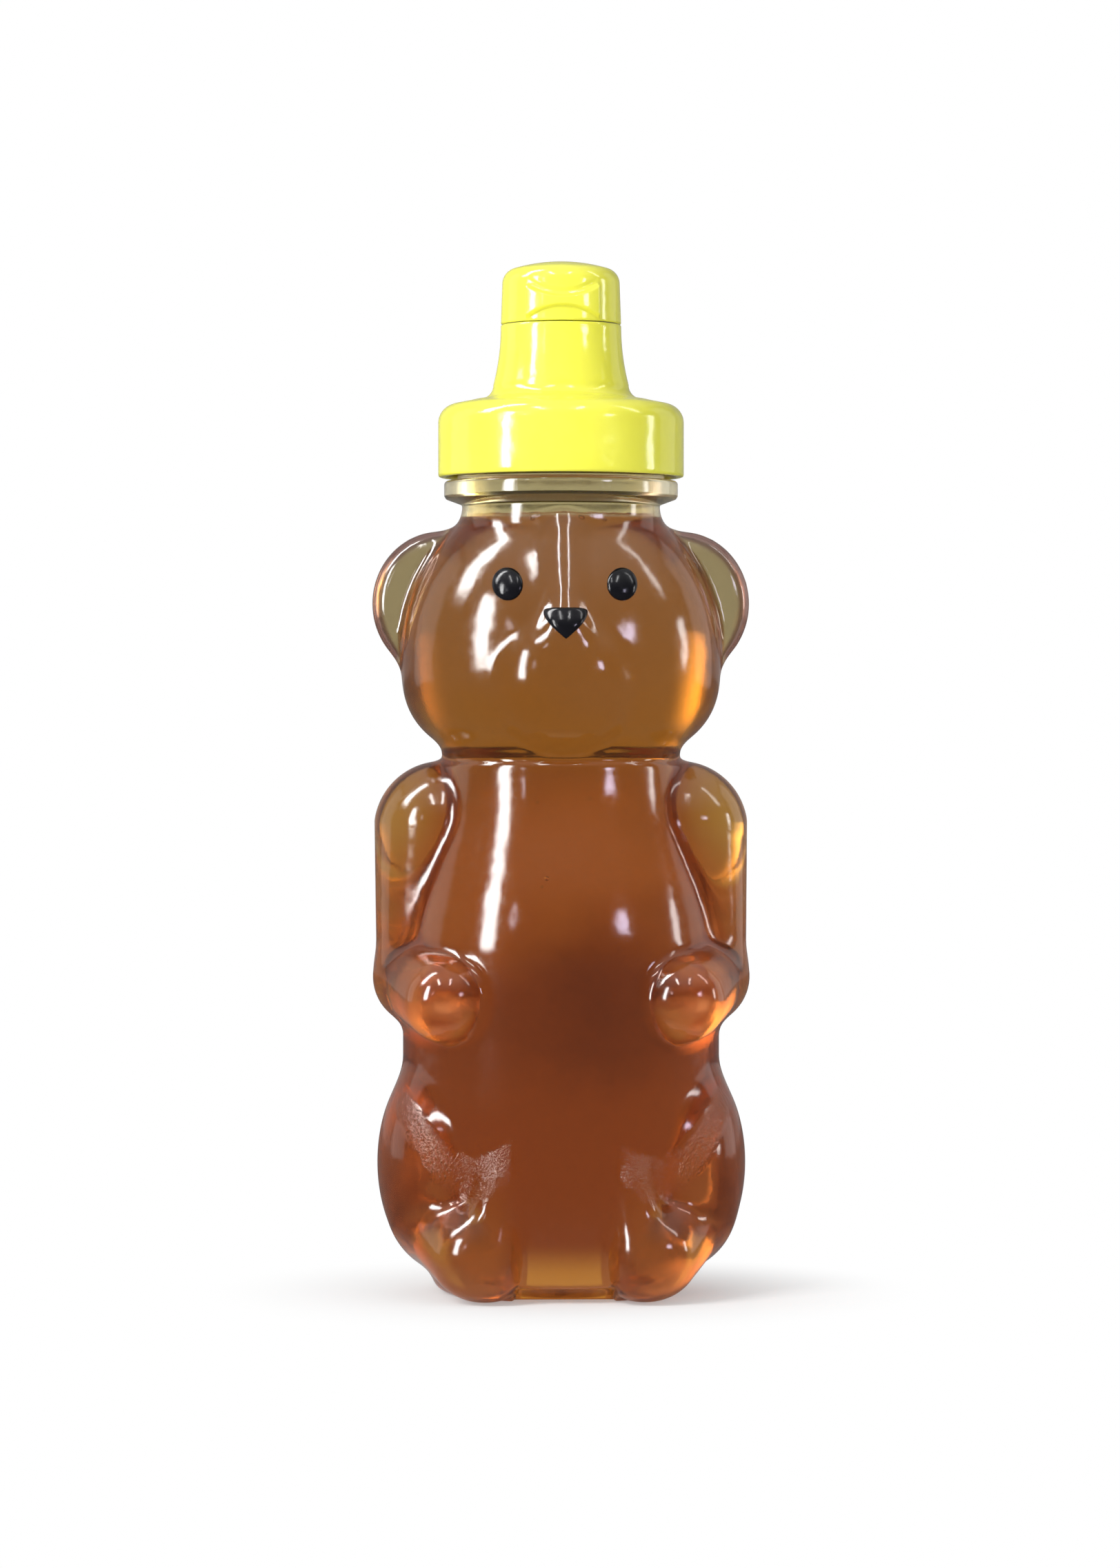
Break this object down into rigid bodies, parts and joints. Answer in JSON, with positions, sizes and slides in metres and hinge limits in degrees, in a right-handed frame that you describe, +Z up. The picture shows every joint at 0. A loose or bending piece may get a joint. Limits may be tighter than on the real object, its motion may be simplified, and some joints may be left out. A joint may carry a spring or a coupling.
{
  "type": "squeeze bottle",
  "caption": "Clear squeeze bottle shaped like a sitting bear, filled with honey, with a yellow screw closure, spout tower and hinged flip lid.",
  "frame": {"origin": "on the table, under the middle of the bottle, on the neck axis", "axes": "+Z up along the neck axis, -Y the way the bear looks, +X to the viewer's right when facing the bear"},
  "size_m": [0.0634, 0.0526, 0.1727],
  "materials": {
    "clear_wall": "clear blow-moulded plastic, glossy",
    "honey": "clear amber-brown syrup",
    "paint": "glossy black paint",
    "liner": "closed-cell foam",
    "closure": "glossy moulded plastic"
  },
  "bodies": {
    "bottle": {"bottle": "clear_wall", "honey": "honey", "left_eye": "paint", "right_eye": "paint", "nose": "paint"},
    "liner": {"seal_liner": "liner"},
    "closure": {"closure_base": "closure", "living_hinge": "closure"},
    "lid": {"flip_lid": "closure"}
  },
  "joints": [
    {"name": "cap_lift", "type": "slide", "parent": "bottle", "child": "liner", "axis": [0, 0, 1], "range_m": [0, 0.0127]},
    {"name": "cap_twist", "type": "hinge", "parent": "liner", "child": "closure", "pos_m": [0, 0, 0.15], "axis": [0, 0, 1], "range_deg": [0, 1080]},
    {"name": "lid_flip", "type": "hinge", "parent": "closure", "child": "lid", "pos_m": [0, 0.00953, 0.16218], "axis": [-1, 0, 0], "range_deg": [0, 135], "deforming": ["living_hinge"]}
  ],
  "couplings": [
    {"joint": "cap_lift", "follows": "cap_twist", "m_per_rad": 0.000673}
  ]
}
